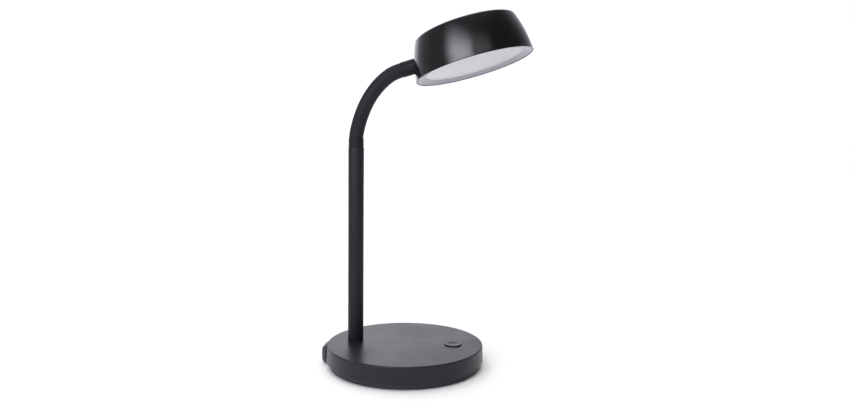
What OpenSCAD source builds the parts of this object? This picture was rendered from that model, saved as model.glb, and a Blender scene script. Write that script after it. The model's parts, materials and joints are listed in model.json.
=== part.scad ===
// Gooseneck desk lamp: weighted round base with a touch-to-press dimmer button,
// a straight steel pole, a flexible hose neck and a shallow round LED head.
// Origin: centre of the anti-slip pad's underside. +X towards the button, +Z up.

/* [Base] */
// Diameter of the base cover
base_d = 162; // [158:1:180]
// Height of the cover's top above the table
base_h = 22.8; // [22.6:0.1:28]
// Wall thickness of the cover's side and top
cover_wall = 2.5; // [2:0.1:3]
// Radius of the cover's top edge
cover_edge_r = 1.2; // [0.6:0.1:2]
// How much the cover's side leans in from bottom to top
cover_draft = 0.6; // [0:0.1:1.5]
// Height of the cover's lower edge above the table
cover_lift = 7; // [6:0.25:8]
// Thickness of the anti-slip pad
pad_t = 1; // [0.8:0.1:1.5]
// Distance from the plate's edge in to the pad's edge
pad_inset = 2; // [1:0.5:6]
// Thickness of the base plate's floor
plate_t = 2; // [1.6:0.1:2.5]
// Thickness of the steel ballast disc
ballast_t = 5; // [3:0.5:5.5]

/* [Button] */
// Diameter of the button's cap
button_d = 17.5; // [14:0.5:22]
// Distance from the base's front edge in to the button's centre
button_inset = 30.8; // [29:0.1:34]
// How far the cap stands above the cover
button_rise = 1.2; // [1.1:0.1:2]
// How far the button travels when pressed
button_travel = 1; // [0.4:0.1:1]
// Gap all round the cap
button_gap = 0.5; // [0.3:0.1:0.8]

/* [Cord gland] */
// Width of the gland where it meets the base
gland_w = 22; // [18:1:26]
// Height of the gland
gland_h = 18.2; // [16:0.1:18.6]
// How far the gland stands out from the base
gland_out = 5; // [4:0.5:10]
// Radius of the hole for the cord
gland_bore_r = 2.6; // [2:0.1:3]
// Turn of the gland round the base, away from straight back
gland_turn = 5; // [0:1:10]

/* [Pole] */
// Outer diameter of the pole
pole_d = 16.1; // [15:0.1:17]
// Wall thickness of the pole
pole_wall = 1; // [0.8:0.1:1.5]
// Distance from the base's back edge in to the pole's axis
pole_inset = 28; // [25:0.1:30]
// Height of the pole's top end above the table
pole_top = 225.2; // [180:0.2:300]
// Length of the ferrule above the pole
ferrule_len = 9.2; // [6:0.2:14]
// Outer diameter of the ferrule
ferrule_d = 15.4; // [14.8:0.1:16]

/* [Gooseneck] */
// Outer diameter of the rubbery sleeve
sleeve_d = 14.6; // [13.8:0.1:14.8]
// Outer diameter of the steel hose inside the sleeve
hose_d = 11.6; // [10.8:0.1:12]
// Distance between neighbouring bending points
link_len = 11; // [10:0.25:14]
// Lean of the neck from upright where it starts, in degrees
neck_lean = 9.2; // [0:0.1:12]
// Curl of the neck in degrees for each millimetre of its length
neck_curl = 0.35; // [0.2:0.01:0.5]
// How much the curl tightens along the neck, in degrees per square millimetre
neck_tighten = 0.0036; // [0:0.0001:0.004]
// Distance from the last bending point to the upper collar
neck_tail = 9; // [7:0.1:12]
// Length of the upper collar
collar_len = 13.6; // [12:0.1:24]
// Outer diameter of the upper collar
collar_d = 15.4; // [15:0.1:17]

/* [Head] */
// Outer diameter of the head at its rim
head_d = 120.5; // [112:0.1:140]
// Height of the head above its rim
head_h = 39.7; // [38:0.1:50]
// Radius of the head's shoulder
shoulder_r = 3.2; // [2.8:0.1:8]
// How much the head's lip flares out
lip_flare = 0.3; // [0:0.1:1.2]
// How far the head's wall leans in at a steady slope, by its shoulder
wall_lean = 2; // [0:0.1:6]
// How far the wall's curve brings it in more, by its shoulder
wall_bow = 5.9; // [2:0.1:8]
// Tilt of the head's axis from upright, in degrees
head_tilt = 15.9; // [5:0.1:25]
// Wall thickness of the head's shell
head_wall = 2.2; // [1.8:0.1:3]
// Distance from the head's top down to the arm's axis
arm_drop = 21.3; // [20:0.1:21.7]
// Width of the white ring round the diffuser
ring_w = 10; // [8:0.1:16]
// Depth of the diffuser inside the rim
diffuser_depth = 2.8; // [2.4:0.1:5]

/* [Hidden] */
$fn = 96;

plate_gap = 1;        // between the plate's rim and the cover's wall
slip = 0.15;          // between a part and the hole that it passes through
seat = 0.05;          // between a part and the socket that holds it

base_r = base_d / 2;
pole_reach = base_r - pole_inset;
button_reach = base_r - button_inset;
cover_in_r = base_r - cover_wall;
ceiling = base_h - cover_wall;
plate_r = cover_in_r - plate_gap;
plate_rim = 2;                        // thickness of the plate's rim
plate_top = cover_lift + 2;           // the rim tucks up inside the cover
floor_z = pad_t + plate_t;
pad_r = plate_r - pad_inset;
screw_r = 1.5;
screw_head_r = 2.8;
screw_head_t = 1.2;
post_r = 3.2;
post_reach = plate_r - plate_rim - post_r - 5.8;
ballast_r = post_reach - post_r - 4.8;

pole_r = pole_d / 2;
pole_in_r = pole_r - pole_wall;
socket_wall = 2.4;
socket_flange_t = 2.5;
socket_screw_ring = pole_r + 5.25;
socket_flange_r = socket_screw_ring + 3;
tube_foot = floor_z + socket_flange_t;

button_r = button_d / 2;
flange_r = button_r + 1.6;            // keeps the cap from lifting out
flange_t = 1;
flange_top = ceiling - 0.2;
guide_wall = 1.4;
plunger_r = 1.7;
switch_size = 6.2;
switch_t = 3.5;
board_t = 1.6;
board_top = flange_top - flange_t - switch_t - 2.4;
board_len = 34;
board_w = 30;
lead_r = 1.5;
lead_z = board_top - board_t / 2;     // the pole's lead meets the board's edge
lead_window_r = lead_r + 1;
socket_top = lead_z + lead_window_r + 1.2;

sleeve_r = sleeve_d / 2;
hose_r = hose_d / 2;
sleeve_in_r = hose_r + 0.15;
hose_depth = 0.7;                     // height of the hose's ridges
hose_strip = 0.5;                     // thickness of the strip that the hose is wound from
hose_pitch = 2.2;
ball_r = sleeve_r + 1.1;              // rounded end of each neck link, centred on the bending point
cup_r = ball_r + 0.3;                 // hollow start of the next link
hose_stop = sqrt(ball_r * ball_r - hose_r * hose_r);
hose_in_r = hose_r - hose_depth - hose_strip;
hose_start = sqrt(cup_r * cup_r - hose_in_r * hose_in_r);
hose_seat = 5;                        // how deep the hose sits in the upper collar
neck_stub = 3.1;                      // from the ferrule to the first bending point
neck_start = [-pole_reach, pole_top + ferrule_len + neck_stub];
link_count = 7;

body_r = head_d / 2 - lip_flare;
flank_top = head_h - shoulder_r;
lip_h = 5;                            // height over which the lip flares
lip_t = 1.2;                          // thickness of the black lip round the white ring
rebate_r = head_d / 2 - lip_t;
rebate_h = 2;
arm_height = head_h - arm_drop;
arm_wall_r = wall_r(arm_height);
collar_r = collar_d / 2;
thread_r = collar_r - 2.5;
thread_len = 9;

// Lean of the neck from upright at a distance s along it
function lean(s) = neck_lean + neck_curl * s + neck_tighten * s * s;
// Lean of link k, which runs from bending point k to the next one
function link_lean(k) = k == 0 ? 0 : k > link_count ? 90 - head_tilt : lean((k - 0.5) * link_len + neck_stub);
function heading(k) = [sin(link_lean(k)), cos(link_lean(k))];
// Place of bending point k in the lamp's upright plane
function bend_point(k) = k == 1 ? neck_start : bend_point(k - 1) + link_len * heading(k - 1);
// Outer radius of the head at a height above its rim
function wall_r(b) = body_r - wall_lean * b / flank_top - wall_bow * pow(b / flank_top, 2)
    + (b < lip_h ? lip_flare * pow(1 - b / lip_h, 2) : 0);

head_reach = neck_tail + collar_len + arm_wall_r;
head_up = [-sin(head_tilt), cos(head_tilt)];
head_origin = bend_point(8) + head_reach * heading(8) - arm_height * head_up;

// Puts a shape made along +Z from a bending point onto link k
module on_link(k) {
    p = k == 0 ? neck_start : bend_point(k);
    translate([p[0], 0, p[1]]) rotate([0, link_lean(k), 0]) children();
}

// Puts a shape made with the head upright, rim at z = 0, into the tilted head
module on_head() {
    translate([head_origin[0], 0, head_origin[1]]) rotate([0, -head_tilt, 0]) children();
}

// Puts a shape made along +Z onto the arm's axis inside the upright head, pointing at the wall
module on_arm(r) {
    translate([-r, 0, arm_height]) rotate([0, 90, 0]) children();
}

module tube(r_out, r_in, h) {
    difference() {
        cylinder(r = r_out, h = h);
        translate([0, 0, -1]) cylinder(r = r_in, h = h + 2);
    }
}

// Four screw posts, clear of the pole, the button and the gland
post_angles = [45, 135, 225, 315];
module at_posts() {
    for (a = post_angles) rotate([0, 0, a]) translate([post_reach, 0, 0]) children();
}

// ------------------------------------------------------------------ base

module anti_slip_pad() {
    color("dimgray") cylinder(r = pad_r, h = pad_t);
}

// Window in the side of the base that the gland's neck passes through
gland_neck_w = gland_w - 6;
gland_low = cover_lift - 1;
gland_high = cover_lift + 8;
gland_mid = (gland_low + gland_high) / 2;
gland_flange_t = 1.5;
gland_flange_w = gland_neck_w + 4;
gland_flange_x = sqrt(pow(plate_r - plate_rim, 2) - pow(gland_flange_w / 2, 2)) - 0.2;
gland_start = gland_flange_x - gland_flange_t;
module on_gland() {
    rotate([0, 0, 180 + gland_turn]) children();
}
module gland_window(gap) {
    on_gland() translate([base_r - 12, -gland_neck_w / 2 - gap, gland_low - gap])
        cube([20, gland_neck_w + 2 * gap, gland_high - gland_low + 2 * gap]);
}

module base_plate() {
    color("#1c1b1e") difference() {
        union() {
            translate([0, 0, pad_t]) cylinder(r = plate_r, h = plate_t);
            translate([0, 0, pad_t]) tube(plate_r, plate_r - plate_rim, plate_top - pad_t);
            // low ring that centres the ballast disc
            translate([0, 0, pad_t]) tube(ballast_r + 1.5, ballast_r + 0.2, plate_t + 2);
        }
        gland_window(slip);
        at_posts() {
            cylinder(r = screw_r + 0.2, h = base_h);
            translate([0, 0, pad_t - 1]) cylinder(r = screw_head_r + 0.3, h = screw_head_t + 1);
        }
        at_socket_screws() {
            cylinder(r = screw_r + 0.2, h = base_h);
            translate([0, 0, pad_t - 1]) cylinder(r = screw_head_r + 0.3, h = screw_head_t + 1);
        }
        // the low ring makes way for the pole's socket
        translate([-pole_reach, 0, floor_z]) cylinder(r = socket_flange_r + 0.5, h = base_h);
    }
}

module ballast_disc() {
    color("#6d6e70") difference() {
        translate([0, 0, floor_z]) cylinder(r = ballast_r, h = ballast_t);
        translate([-pole_reach, 0, 0]) cylinder(r = socket_flange_r + 1, h = base_h);
        translate([0, 0, floor_z - 1]) cylinder(r = 12, h = ballast_t + 2);
    }
}

module base_cover() {
    wall_top_r = base_r - cover_draft;
    color("#2a282c") difference() {
        union() {
            rotate_extrude() polygon(concat(
                [[cover_in_r, cover_lift], [base_r - 0.3, cover_lift], [base_r, cover_lift + 0.3]],
                [for (a = [0:15:90]) [wall_top_r - cover_edge_r * (1 - cos(a)),
                    base_h - cover_edge_r * (1 - sin(a))]],
                [[0, base_h], [0, ceiling], [cover_in_r - 1, ceiling], [cover_in_r, ceiling - 1]]));
            at_posts() translate([0, 0, floor_z]) cylinder(r = post_r, h = ceiling - floor_z + 0.5);
            // guide ring round the button
            translate([button_reach, 0, ceiling - 3])
                cylinder(r = flange_r + button_gap + guide_wall, h = 3.5);
            at_board_posts() translate([0, 0, board_top]) cylinder(r = 2.6, h = ceiling - board_top + 0.5);
        }
        gland_window(slip);
        at_posts() translate([0, 0, floor_z - 1]) cylinder(r = screw_r - 0.3, h = 11);
        at_board_posts() translate([0, 0, board_top - 1]) cylinder(r = 1, h = 5);
        translate([-pole_reach, 0, 0]) cylinder(r = pole_r + slip, h = base_h + 1);
        translate([button_reach, 0, 0]) cylinder(r = button_r + button_gap, h = base_h + 1);
        translate([button_reach, 0, 0]) cylinder(r = flange_r + button_gap, h = ceiling);
    }
}

module screw(length) {
    cylinder(r = screw_head_r, h = screw_head_t);
    cylinder(r = screw_r - 0.3, h = length);
}

module base_screws() {
    color("silver") at_posts() translate([0, 0, pad_t]) screw(10);
}

// ------------------------------------------------------------------ pole

module at_socket_screws() {
    for (a = [60, 180, 300])
        translate([-pole_reach, 0, 0]) rotate([0, 0, a]) translate([socket_screw_ring, 0, 0]) children();
}

// Opening low in the pole and its socket that the lead comes out of
module lead_window() {
    translate([-pole_reach, -lead_window_r, lead_z - lead_window_r])
        cube([pole_d, 2 * lead_window_r, 2 * lead_window_r]);
}

module pole_socket() {
    color("#8d8f92") difference() {
        translate([-pole_reach, 0, floor_z]) {
            cylinder(r = socket_flange_r, h = socket_flange_t);
            cylinder(r = pole_r + socket_wall, h = socket_top - floor_z);
        }
        translate([-pole_reach, 0, tube_foot]) cylinder(r = pole_r + seat, h = base_h);
        at_socket_screws() cylinder(r = screw_r - 0.3, h = base_h);
        lead_window();
    }
}

module socket_screws() {
    color("silver") at_socket_screws() translate([0, 0, pad_t]) screw(floor_z + socket_flange_t - pad_t);
}

module pole_tube() {
    color("#2b2a2d") difference() {
        translate([-pole_reach, 0, tube_foot]) tube(pole_r, pole_in_r, pole_top - tube_foot);
        lead_window();
    }
}

ferrule_plug = 14;
module lower_ferrule() {
    ferrule_r = ferrule_d / 2;
    color("#252427") translate([-pole_reach, 0, pole_top]) difference() {
        union() {
            translate([0, 0, 0.3]) cylinder(r = ferrule_r, h = ferrule_len - 0.6);
            cylinder(r = ferrule_r - 0.3, h = ferrule_len);
            translate([0, 0, -ferrule_plug]) cylinder(r = pole_in_r - seat, h = ferrule_plug + 1);
        }
        // seat for the end of the hose, and the way through for the lead
        translate([0, 0, -ferrule_plug - 1]) cylinder(r = lead_r + 1.5, h = ferrule_len + ferrule_plug + 2);
        cylinder(r = hose_r + seat, h = ferrule_len + 1);
    }
}

// ------------------------------------------------------------------ cord gland

// Outline of the gland's block seen along one of its axes, drawn in along a quarter round
module gland_view(half) {
    draw_in = 4;
    side = [for (a = [0:15:90]) [base_r + gland_out * sin(a), half - draw_in * (1 - cos(a))]];
    back = base_r - 3;
    polygon(concat([[back, -half], [back, half]], side,
        [for (i = [len(side) - 1:-1:0]) [side[i][0], -side[i][1]]]));
}

module cord_gland() {
    stand_off = 1;                    // gap between the block and the base's round wall
    corner_r = 3;
    color("#2a282c") on_gland() difference() {
        union() {
            // block rounded outwards both ways, hollowed to follow the round wall
            difference() {
                intersection() {
                    translate([0, 0, gland_mid - gland_h / 2 - 1])
                        linear_extrude(gland_h + 2) gland_view(gland_w / 2);
                    translate([0, gland_w / 2 + 1, gland_mid]) rotate([90, 0, 0])
                        linear_extrude(gland_w + 2) gland_view(gland_h / 2);
                    translate([base_r - 4, 0, gland_mid]) rotate([90, 0, 90])
                        linear_extrude(gland_out + 5) offset(r = corner_r, $fn = 24)
                            square([gland_w - 2 * corner_r, gland_h - 2 * corner_r], center = true);
                }
                translate([0, 0, -1]) cylinder(r = base_r + stand_off, h = base_h + 2);
            }
            translate([gland_flange_x - 1, -gland_neck_w / 2, gland_low])
                cube([base_r + stand_off + 2 - gland_flange_x, gland_neck_w, gland_high - gland_low]);
            // inner flange that holds the gland in its window
            translate([gland_start, -gland_flange_w / 2, gland_low - 0.6])
                cube([gland_flange_t, gland_flange_w, gland_high - gland_low + 1.8]);
        }
        translate([gland_start - 1, 0, gland_mid]) rotate([0, 90, 0])
            cylinder(r = gland_bore_r, h = base_r + gland_out + 2 - gland_start);
    }
}

// ------------------------------------------------------------------ button and electronics

module at_board_posts() {
    for (y = [-board_w / 2 + 3, board_w / 2 - 3])
        translate([button_reach - board_len + 14, y, 0]) children();
}

module control_board() {
    color("#1f5a35") difference() {
        translate([button_reach - board_len + 6, -board_w / 2, board_top - board_t])
            cube([board_len, board_w, board_t]);
        at_board_posts() cylinder(r = screw_r - 0.2, h = base_h);
    }
}

module board_screws() {
    color("silver") at_board_posts() translate([0, 0, board_top - board_t - 1]) {
        cylinder(r = 2.2, h = 1);
        cylinder(r = 0.95, h = 5);
    }
}

module tact_switch() {
    color("#3a3a3d") translate([button_reach, 0, board_top]) difference() {
        translate([-switch_size / 2, -switch_size / 2, 0]) cube([switch_size, switch_size, switch_t]);
        translate([0, 0, switch_t - button_travel - 0.8]) cylinder(r = plunger_r + 0.1, h = switch_t);
    }
}

// Choke coil, capacitor and driver chip on the board
module driver_parts() {
    coil_x = button_reach - 16;
    coil_r = 3.5;
    coil_h = 4;
    translate([coil_x, -7, board_top]) {
        color("#33353a") cylinder(r = coil_r, h = 1);
        color("#b5703a") cylinder(r = coil_r - 0.9, h = coil_h);
        color("#33353a") translate([0, 0, coil_h - 1]) cylinder(r = coil_r, h = 1);
    }
    color("#4b4f86") translate([coil_x, 7, board_top]) cylinder(r = 3, h = 5);
    color("#222222") translate([coil_x - 3, -2.5, board_top]) cube([6, 5, 1.5]);
}

module button_cap() {
    dish = 0.4;
    color("#3a383c") translate([button_reach, 0, 0]) rotate_extrude() polygon([
        [0, base_h + button_rise - dish],
        [button_r * 0.4, base_h + button_rise - dish * 0.84],
        [button_r * 0.72, base_h + button_rise - dish * 0.4],
        [button_r - 1.3, base_h + button_rise],
        [button_r - 0.7, base_h + button_rise - 0.15],
        [button_r - 0.2, base_h + button_rise - 0.55],
        [button_r, base_h + button_rise - 1],
        [button_r, flange_top],
        [flange_r, flange_top],
        [flange_r, flange_top - flange_t],
        [button_r - 1.5, flange_top - flange_t],
        [button_r - 1.5, ceiling + 0.5],
        [3, ceiling + 0.5],
        [3, flange_top - flange_t],
        [plunger_r + seat, flange_top - flange_t],
        [plunger_r + seat, ceiling],
        [0, ceiling]
    ]);
}

module button_plunger() {
    color("#c9c9c4") translate([button_reach, 0, board_top + switch_t - 0.6]) {
        cylinder(r = plunger_r, h = ceiling - board_top - switch_t + 0.6);
    }
}

// Lead in the pole: up from the board, level to the pole, then up inside it
lead_bend = 6;
module pole_lead() {
    start_x = button_reach - board_len + 6 - 0.1;
    top = neck_start[1] + ball_r - 0.2;
    color("#d8d8d8") {
        translate([-pole_reach, 0, lead_z + lead_bend]) cylinder(r = lead_r, h = top - lead_z - lead_bend);
        translate([lead_bend - pole_reach, 0, lead_z + lead_bend]) rotate([90, 0, 0])
            rotate_extrude(angle = 90) translate([-lead_bend, 0]) circle(r = lead_r, $fn = 32);
        translate([lead_bend - pole_reach, 0, lead_z]) rotate([0, 90, 0])
            cylinder(r = lead_r, h = start_x + pole_reach - lead_bend);
    }
}

// ------------------------------------------------------------------ gooseneck

// Trims a shape on link k: hollow where it starts, rounded where it ends
module link_trim(k, length) {
    on_link(k) difference() {
        intersection() {
            children();
            union() {
                translate([0, 0, -neck_stub - 1]) cylinder(r = ball_r + 1, h = neck_stub + 1 + length);
                if (k <= link_count) translate([0, 0, length]) sphere(r = ball_r);
            }
        }
        if (k > 0) sphere(r = cup_r);
    }
}

module sleeve(k) {
    root = k == 0;
    last = k > link_count;
    length = root ? 0 : last ? neck_tail : link_len;
    low = root ? -neck_stub : 0;
    color("#39393b") link_trim(k, length)
        translate([0, 0, low]) tube(sleeve_r, sleeve_in_r, length - low + (last ? 0 : ball_r));
}

// Outline of one turn of the wound steel hose: a square ridge with sloping flanks
function ridge(z, pitch, r) = [
    [r - hose_depth, z], [r - hose_depth, z + 0.32 * pitch], [r, z + 0.45 * pitch], [r, z + 0.87 * pitch]];
function hose_line(low, turns, pitch, r) = concat(
    [for (i = [0:turns - 1]) each ridge(low + i * pitch, pitch, r)],
    [[r - hose_depth, low + turns * pitch]]);
function backwards(points) = [for (i = [len(points) - 1:-1:0]) points[i]];

module hose(k) {
    root = k == 0;
    last = k > link_count;
    low = root ? -neck_stub - ferrule_len : hose_start;
    high = root ? hose_stop : last ? neck_tail + hose_seat : link_len + hose_stop;
    turns = round((high - low) / hose_pitch);
    pitch = (high - low) / turns;
    color("#9a9ca0") on_link(k) rotate_extrude() polygon(concat(
        hose_line(low, turns, pitch, hose_r),
        backwards(hose_line(low, turns, pitch, hose_r - hose_strip))));
}

// Piece of the lead on link k; the last piece bends up to the LED board
module lead(k) {
    last = k > link_count;
    bend = 4;
    length = last ? head_reach - lead_end_r - bend : link_len;
    color("#d8d8d8") {
        link_trim(k, length) cylinder(r = lead_r, h = length + (last ? 0 : ball_r));
        if (last) on_link(k) {
            rise = board_z - arm_height - bend - 0.1;
            translate([-bend, 0, length]) rotate([90, 0, 0])
                rotate_extrude(angle = 90) translate([bend, 0]) circle(r = lead_r, $fn = 32);
            translate([-bend - rise, 0, length + bend]) rotate([0, 90, 0]) cylinder(r = lead_r, h = rise);
        }
    }
}

// ------------------------------------------------------------------ head

module upper_collar() {
    color("#2a292c") difference() {
        on_link(8) translate([0, 0, neck_tail]) {
            difference() {
                union() {
                    translate([0, 0, 0.3]) cylinder(r = collar_r, h = collar_len + 4);
                    cylinder(r = collar_r - 0.3, h = 1);
                    cylinder(r = thread_r, h = collar_len + thread_len);
                }
                translate([0, 0, -1]) cylinder(r = hose_r + seat, h = hose_seat + 1.1);
                cylinder(r = lead_r + 0.6, h = collar_len + thread_len + 1);
            }
        }
        // the collar's end is shaped to the head's round wall, round the threaded stub
        on_head() difference() {
            rotate_extrude() polygon(concat([[0, 0]], wall_line(), [[0, head_h]]));
            on_arm(head_d / 2) cylinder(r = thread_r, h = head_d / 2);
        }
    }
}

module arm_nut() {
    color("#b0b2b5") on_link(8) translate([0, 0, neck_tail + collar_len + head_wall + arm_pad_t + 0.1]) difference() {
        cylinder(r = thread_r + 3, h = 3, $fn = 6);
        translate([0, 0, -1]) cylinder(r = thread_r + seat, h = 5);
    }
}

arm_pad_t = 2.5;                      // pad inside the wall that the arm's nut pulls against
boss_inset = 15.5;                    // from the head's widest radius in to the bosses
boss_ring = body_r - boss_inset;
boss_h = 10;
boss_angles = [45, 135, 225, 315];
heat_plate_t = 1.5;
plate_z = head_h - boss_h - head_wall - heat_plate_t;
led_board_t = 1.2;
board_z = plate_z - led_board_t;
lit_r = rebate_r - ring_w;            // radius of the diffuser that shows
diffuser_lap = 2.3;                   // how far the diffuser reaches over the ring's shelf
diffuser_t = 2;
led_inset = 13;                       // from the diffuser's edge in to the outer circle of LEDs
led_ring = lit_r - led_inset;
led_row = 14;                         // from the outer circle of LEDs to the inner one
led_count = 24;
led_size = [2.8, 3.5, 0.8];
board_edge = 4;                       // from the outer circle of LEDs to the board's edge
board_hole_r = led_ring - led_row - 2 * board_edge;
lead_end_r = led_ring - led_row / 2;  // the lead meets the LED board between its circles of LEDs
module at_bosses() {
    for (a = boss_angles) rotate([0, 0, a]) translate([boss_ring, 0, 0]) children();
}

// Outer line of the head's wall, from the lip up to the shoulder
wall_steps = 12;
function wall_line() = [for (i = [0:wall_steps]) let (b = flank_top * i / wall_steps) [wall_r(b), b]];

module head_shell() {
    shoulder_x = wall_r(flank_top) - shoulder_r;
    inner_r = shoulder_r - head_wall;
    crown = 0.4;
    outer = concat(
        wall_line(),
        [for (a = [15:15:90]) [shoulder_x + shoulder_r * cos(a), flank_top + shoulder_r * sin(a)]],
        [[0, head_h + crown], [0, head_h + crown - head_wall]]);
    inner = concat(
        [for (a = [90:-15:15]) [shoulder_x + inner_r * cos(a), flank_top + inner_r * sin(a)]],
        [for (i = [wall_steps:-1:0])
            let (b = rebate_h + (flank_top - rebate_h) * i / wall_steps) [wall_r(b) - head_wall, b]],
        [[rebate_r, rebate_h], [rebate_r, 0]]);
    color("#222124") on_head() difference() {
        union() {
            rotate_extrude() polygon(concat(outer, inner));
            at_bosses() translate([0, 0, plate_z + heat_plate_t]) cylinder(r = 3, h = boss_h + 0.6);
            intersection() {
                on_arm(arm_wall_r) cylinder(r = thread_r + 4.5, h = head_wall + arm_pad_t);
                rotate_extrude() polygon(concat([[0, 0]],
                    [for (p = wall_line()) [p[0] - head_wall / 2, p[1]]], [[0, flank_top]]));
            }
        }
        at_bosses() translate([0, 0, plate_z]) cylinder(r = screw_r - 0.3, h = boss_h - 1);
        on_arm(head_d / 2) cylinder(r = thread_r + slip, h = head_d / 4);
    }
}

// White ring, hollowed in a curve from the lip to the diffuser, with a shelf that the diffuser rests on
module reflector_ring() {
    ring_r = rebate_r - slip;
    ring_z = 0.5;                     // the ring's face, just inside the lip
    rim_w = 0.8;                      // flat rim round the curve
    edge_t = 0.45;                    // thickness of the ring's inner edge
    curve_w = ring_r - rim_w - lit_r;
    curve_h = diffuser_depth + 0.1 - edge_t - ring_z;
    curve_steps = 8;
    shelf_r = lit_r + diffuser_lap + 0.2;
    ring_top = diffuser_depth + 3.4;
    color("#f4f4f4") on_head() rotate_extrude() polygon(concat([
        [ring_r, ring_z], [ring_r, rebate_h - 0.2], [wall_r(rebate_h) - head_wall - 0.4, rebate_h - 0.2],
        [wall_r(ring_top) - head_wall - 0.4, ring_top],
        [shelf_r, ring_top], [shelf_r, diffuser_depth + 0.1], [lit_r, diffuser_depth + 0.1]],
        [for (t = [0:1 / curve_steps:1]) [lit_r + curve_w * t, ring_z + curve_h * (1 - t * t)]]));
}

module diffuser() {
    color("#e6e6ea") on_head() translate([0, 0, diffuser_depth + 0.15])
        cylinder(r = lit_r + diffuser_lap, h = diffuser_t);
}

// Aluminium plate that spreads the heat of the LEDs, screwed up under the bosses
module heat_plate() {
    color("#c4c6c9") on_head() difference() {
        translate([0, 0, plate_z]) cylinder(r = boss_ring + 4, h = heat_plate_t);
        at_bosses() cylinder(r = screw_r, h = head_h);
    }
}

module led_board() {
    color("#f2f2ee") on_head() translate([0, 0, board_z])
        tube(led_ring + board_edge, board_hole_r, led_board_t);
}

module led_chips() {
    color("#e8d060") on_head() for (ring = [[led_ring, led_count], [led_ring - led_row, led_count / 2]])
        for (i = [0:ring[1] - 1]) rotate([0, 0, 360 * i / ring[1]])
            translate([ring[0], 0, board_z] - [led_size[0] / 2, led_size[1] / 2, led_size[2]]) cube(led_size);
}

module head_screws() {
    color("silver") on_head() at_bosses() translate([0, 0, plate_z - screw_head_t]) screw(8);
}

anti_slip_pad();
base_plate();
ballast_disc();
base_cover();
base_screws();
pole_socket();
socket_screws();
pole_tube();
lower_ferrule();
cord_gland();
control_board();
tact_switch();
driver_parts();
board_screws();
pole_lead();
button_cap();
button_plunger();
upper_collar();
arm_nut();
head_shell();
reflector_ring();
diffuser();
heat_plate();
led_board();
led_chips();
head_screws();
for (k = [0:8]) {
    sleeve(k);
    hose(k);
    if (k > 0) lead(k);
}
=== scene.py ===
"""Gooseneck desk lamp: dressed pieces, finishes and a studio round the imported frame."""

import json
import math

import bmesh
import bpy
from mathutils import Matrix, Vector


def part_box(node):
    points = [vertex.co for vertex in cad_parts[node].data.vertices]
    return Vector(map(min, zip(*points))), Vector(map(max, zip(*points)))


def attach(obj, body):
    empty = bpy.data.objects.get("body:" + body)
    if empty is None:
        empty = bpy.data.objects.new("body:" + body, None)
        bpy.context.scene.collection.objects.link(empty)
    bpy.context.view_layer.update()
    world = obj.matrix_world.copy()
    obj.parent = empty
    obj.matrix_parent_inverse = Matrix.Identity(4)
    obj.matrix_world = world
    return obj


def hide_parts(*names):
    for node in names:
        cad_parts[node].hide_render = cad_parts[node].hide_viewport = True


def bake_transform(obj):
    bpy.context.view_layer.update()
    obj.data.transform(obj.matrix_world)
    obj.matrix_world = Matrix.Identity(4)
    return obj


bl_info = {
    "name": "Gooseneck desk lamp",
    "version": (1, 0, 0),
    "blender": (4, 5, 0),
    "location": "View3D > Sidebar > Lamp",
    "description": "Builds the lamp's dressed pieces on its frame, with finishes and a studio",
    "category": "Add Mesh",
}

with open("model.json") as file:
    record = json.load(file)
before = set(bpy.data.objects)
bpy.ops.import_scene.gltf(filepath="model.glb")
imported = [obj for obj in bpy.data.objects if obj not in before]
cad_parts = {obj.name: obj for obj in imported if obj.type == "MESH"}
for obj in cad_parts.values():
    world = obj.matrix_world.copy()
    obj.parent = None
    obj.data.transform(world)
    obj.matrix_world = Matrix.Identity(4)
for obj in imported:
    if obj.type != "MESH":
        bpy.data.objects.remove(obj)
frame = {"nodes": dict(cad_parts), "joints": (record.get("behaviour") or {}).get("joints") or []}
for name in ("Cube", "Light", "Camera"):
    if name in bpy.data.objects:
        bpy.data.objects.remove(bpy.data.objects[name])
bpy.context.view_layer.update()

mm = 0.001
hinge = {joint["name"]: Vector(joint["pos_m"]) for joint in frame["joints"] if "pos_m" in joint}
bend_points = [
    hinge[f"neck_{way}_{pair}"] for pair in (1, 2, 3, 4) for way in ("bend", "sway")
]
pole_low, pole_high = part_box("pole_tube")
cover_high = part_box("base_cover")[1]
cap_low, cap_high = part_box("button_cap")
pole_x = (pole_low.x + pole_high.x) / 2
button_x = (cap_low.x + cap_high.x) / 2


# ------------------------------------------------------------------ sizes and colours


def a_length(name, about, default, low):
    return bpy.props.FloatProperty(
        name=name, description=about, default=default, min=low, unit="LENGTH")


def an_angle(name, about, degrees):
    return bpy.props.FloatProperty(
        name=name, description=about, default=math.radians(degrees), subtype="ANGLE")


def a_colour(name, about, default):
    return bpy.props.FloatVectorProperty(
        name=name, description=about, default=default, min=0, max=1, subtype="COLOR")


class LampBaseSizes(bpy.types.PropertyGroup):
    radius: a_length("Base radius", "Radius of the cover's lower edge", cover_high.x, 0.05)
    top: a_length("Base height", "Height of the cover's top above the table", cover_high.z, 0.01)
    wall: a_length("Cover wall", "Thickness of the cover's side and top", 2.5 * mm, 0.001)
    edge: a_length("Edge radius", "Radius of the cover's top edge", 1.2 * mm, 0.0002)
    draft: a_length(
        "Draft", "How much the cover's side leans in from bottom to top", 0.6 * mm, 0.0)
    lift: a_length("Cover lift", "Height of the cover's lower edge above the table", 7 * mm, 0.0)
    gland_turn: an_angle(
        "Gland turn", "Turn of the cord gland round the base from the +X side", 185)
    gland_width: a_length(
        "Gland width", "Width of the cord gland where it meets the base", 22 * mm, 0.005)
    gland_height: a_length("Gland height", "Height of the cord gland", 18.2 * mm, 0.005)
    gland_out: a_length(
        "Gland depth", "How far the cord gland stands out from the base", 5 * mm, 0.002)


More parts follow.
